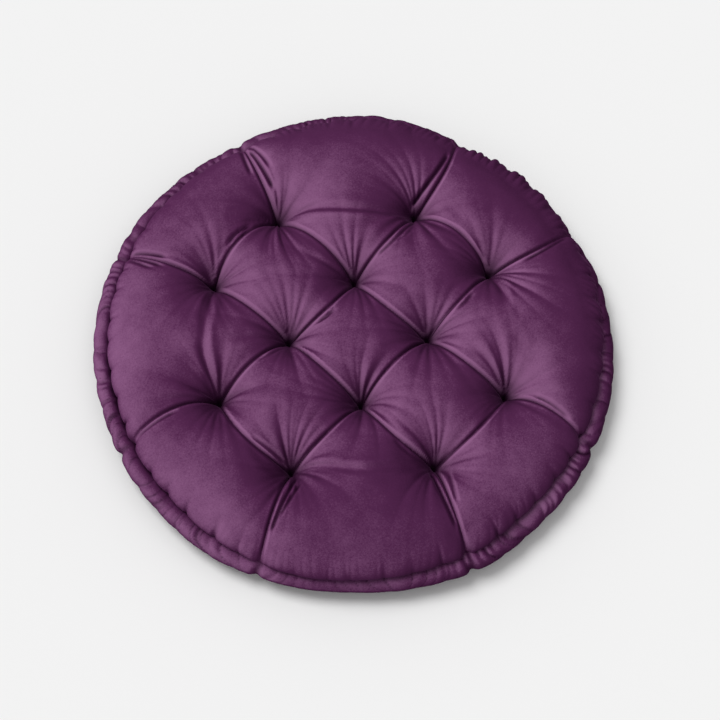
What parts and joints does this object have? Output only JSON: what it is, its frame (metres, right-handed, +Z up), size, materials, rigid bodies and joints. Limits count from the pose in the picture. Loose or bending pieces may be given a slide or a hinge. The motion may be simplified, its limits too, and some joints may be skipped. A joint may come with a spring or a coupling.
{
  "type": "round tufted floor cushion",
  "caption": "Round velvet floor cushion with a deeply tufted puffed top, valley folds between the tufts, a gathered side band and a flat underside.",
  "frame": {"origin": "centre of the flat underside that the cushion rests on", "axes": "+Z up out of the tufted face, +X along the rows of tufts, +Y towards the back of the view in the picture"},
  "size_m": [0.6004, 0.6032, 0.082],
  "materials": {
    "velvet": "soft plum velvet with a pale sheen at grazing angles",
    "velvet_underside": "the same plum velvet, darker where it faces away from the light"
  },
  "bodies": {
    "root": {"top_panel": "velvet", "side_band": "velvet", "bottom_panel": "velvet_underside"}
  },
  "joints": []
}
